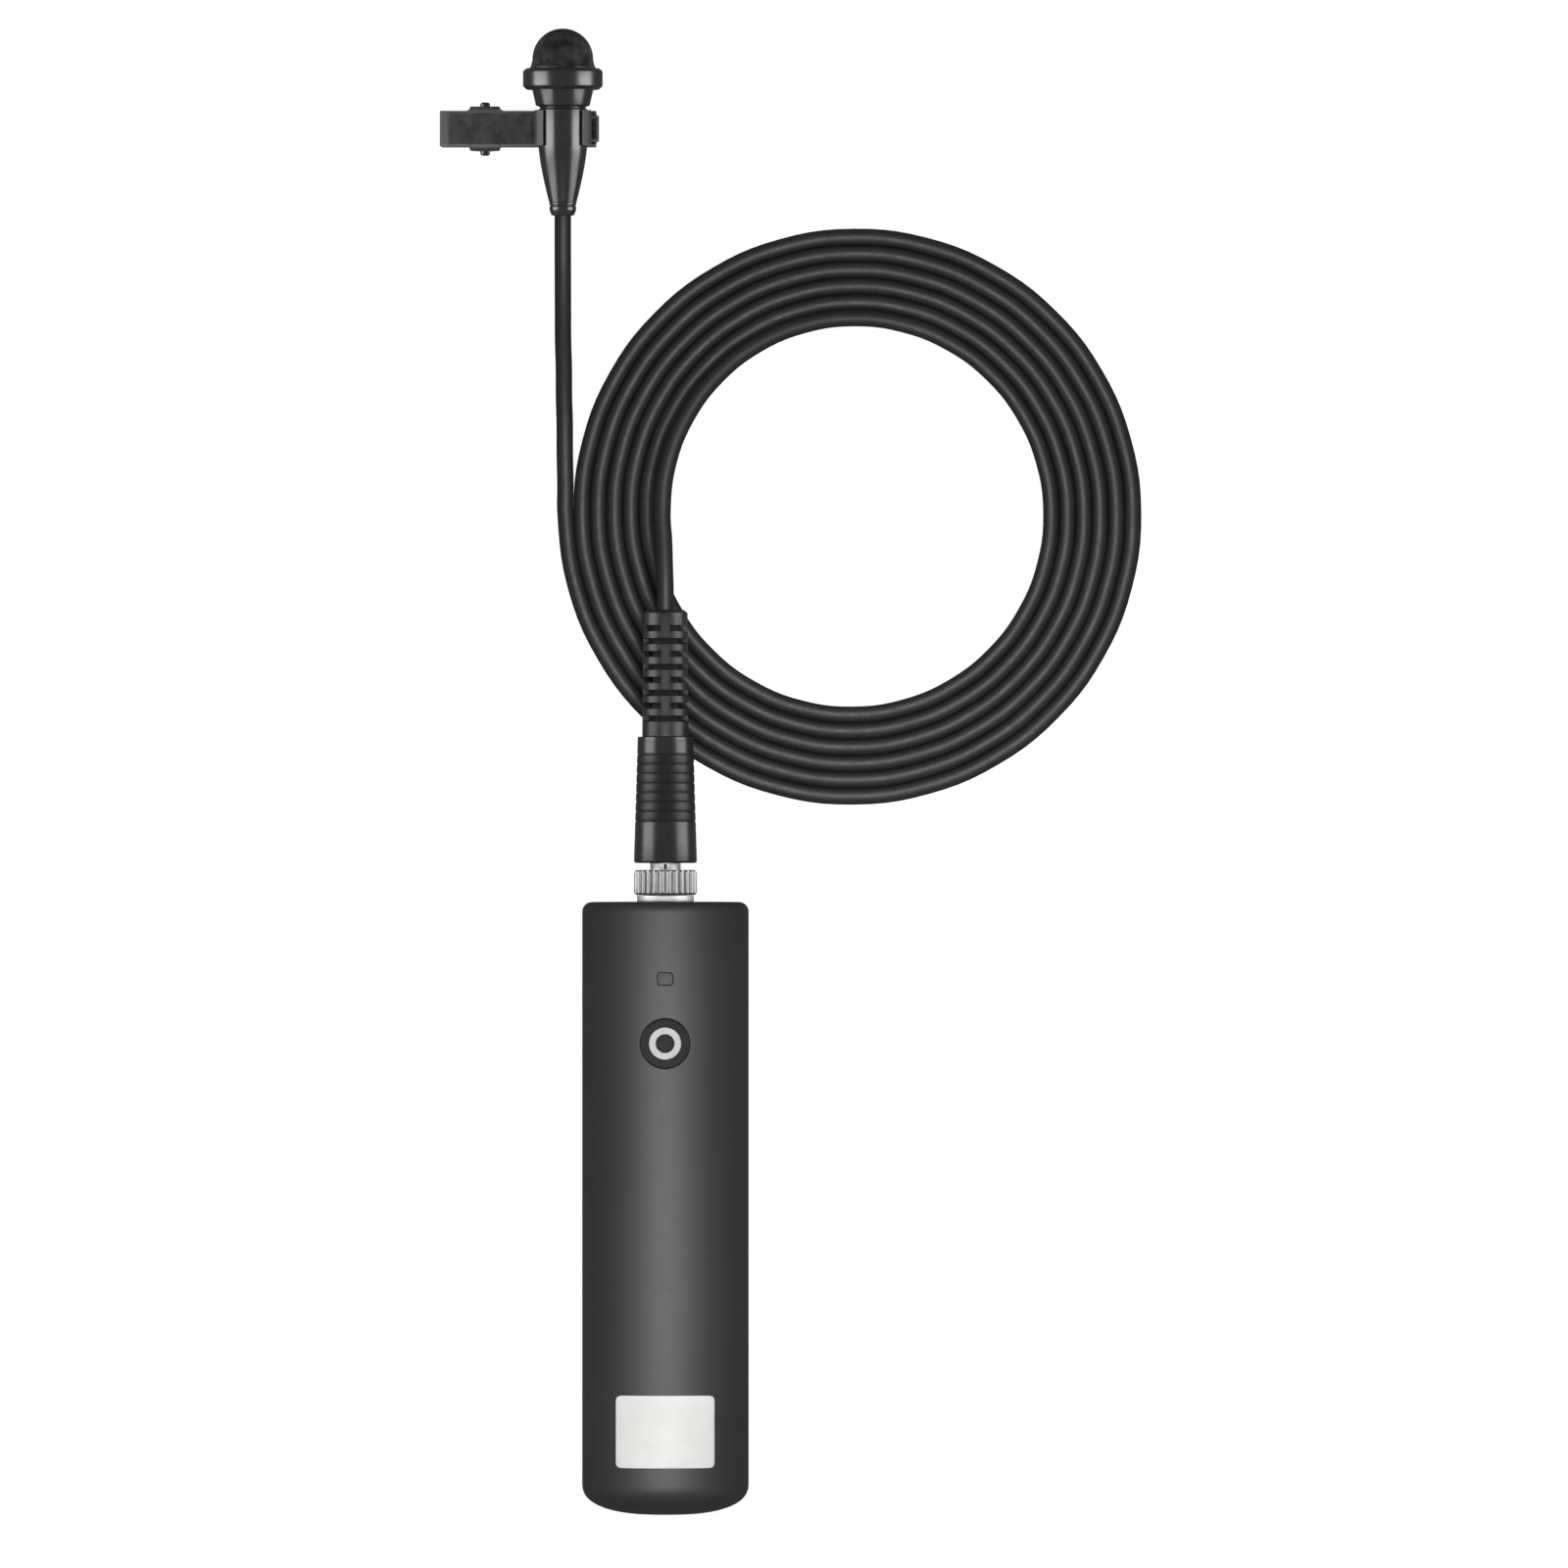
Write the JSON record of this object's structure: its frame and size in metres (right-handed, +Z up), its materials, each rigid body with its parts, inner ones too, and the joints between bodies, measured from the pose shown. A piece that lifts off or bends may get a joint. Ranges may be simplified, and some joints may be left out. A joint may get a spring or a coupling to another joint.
{
  "type": "lavalier microphone",
  "caption": "Clip-on lavalier microphone with mesh dome and sprung clip, its cable wound in a flat coil and plugged by a locking jack into a tubular pocket transmitter.",
  "frame": {"origin": "on the table, under the middle of the box round the transmitter, the microphone and its clip, with the free cable left out", "axes": "+Z up from the table the parts lie on; +Y along the tube, from the transmitter's base to the microphone's dome; +X from the microphone to the cable's coil"},
  "size_m": [0.1017, 0.2142, 0.024],
  "materials": {
    "shell_charcoal": "fine satin texture",
    "screw_steel": "satin",
    "panel_pale": "matt, blank",
    "button_black": "satin",
    "ring_white": "satin",
    "switch_black": "matt",
    "lamp_clear": "smoked, gloss",
    "diode_cream": "gloss",
    "board_green": "solder mask, gloss",
    "tin": "tinned",
    "chip_black": "matt epoxy",
    "ceramic": "fired ceramic",
    "cell_wrap": "shrink film",
    "wire_red": "silicone",
    "socket_cream": "nylon",
    "nickel": "nickel plate",
    "brass_gold": "gold flash",
    "jack_black": "moulded",
    "insulator_black": "moulded",
    "sleeve_black": "satin",
    "boot_rubber": "satin rubber",
    "cable_jacket": "satin jacket",
    "mic_black": "semi-gloss black",
    "gasket_rubber": "matt",
    "capsule_metal": "drawn can",
    "film_metal": "metallised film",
    "foam_black": "open foam",
    "mesh_black": "blackened woven wire",
    "clip_black": "satin black coat",
    "spring_steel": "drawn wire"
  },
  "bodies": {
    "transmitter": {"front_shell": "shell_charcoal", "rear_shell": "shell_charcoal", "case_screws": "screw_steel", "write_on_panel": "panel_pale", "button_switch": "switch_black", "lamp_window": "lamp_clear", "lamp_diode": "diode_cream", "main_board": "board_green", "radio_shield": "tin", "board_chips": "chip_black", "antenna": "ceramic", "cell": "cell_wrap", "cell_leads": "wire_red", "cell_socket": "socket_cream", "usb_shell": "nickel", "usb_tongue": "insulator_black", "jack_collar": "nickel", "jack_nut": "brass_gold", "jack_body": "jack_black", "jack_contacts": "brass_gold"},
    "button": {"button_cap": "button_black", "button_ring": "ring_white"},
    "microphone_lead": {"plug_core": "nickel", "plug_ring": "nickel", "plug_tip": "nickel", "plug_insulators": "insulator_black", "plug_wires": "wire_red", "cable_crimp": "brass_gold", "plug_sleeve": "sleeve_black", "cable_boot": "boot_rubber", "cable_tail": "cable_jacket", "cable_coil": "cable_jacket", "cable_lead": "cable_jacket", "mic_tail": "boot_rubber", "mic_housing": "mic_black", "mic_wires": "wire_red", "capsule_gasket": "gasket_rubber", "capsule_can": "capsule_metal", "capsule_board": "board_green", "capsule_spacer": "socket_cream", "capsule_backplate": "brass_gold", "capsule_diaphragm": "film_metal", "acoustic_disc": "foam_black", "mic_collar": "mic_black", "mic_grille": "mesh_black"},
    "lock_ring": {"lock_ring": "nickel"},
    "clip": {"clip_cradle": "clip_black", "cradle_rivet": "screw_steel", "upper_jaw": "clip_black", "pivot_pin": "clip_black", "clip_spring": "spring_steel"},
    "clip_jaw": {"lower_jaw": "clip_black"}
  },
  "joints": [
    {"name": "button_press", "type": "slide", "parent": "transmitter", "child": "button", "axis": [0, 0, -1], "range_m": [0, 0.0004], "stiffness_N_per_m": 2000, "springref_m": -0.0005},
    {"name": "plug_pull", "type": "slide", "parent": "transmitter", "child": "microphone_lead", "axis": [0, 1, 0], "range_m": [0, 0.018]},
    {"name": "lock_ring_turn", "type": "hinge", "parent": "microphone_lead", "child": "lock_ring", "pos_m": [0.01035, -0.0158, 0.012], "axis": [0, 1, 0], "continuous": true},
    {"name": "clip_swivel", "type": "hinge", "parent": "microphone_lead", "child": "clip", "pos_m": [-0.00445, 0.09275, 0.01039], "axis": [0, 1, 0], "continuous": true},
    {"name": "jaw_open", "type": "hinge", "parent": "clip", "child": "clip_jaw", "pos_m": [-0.01572, 0.09275, 0.00352], "axis": [0, 1, 0], "range_deg": [0, 25], "stiffness_Nm_per_rad": 0.06, "springref_deg": -22.92, "deforming": ["clip_spring"]}
  ]
}
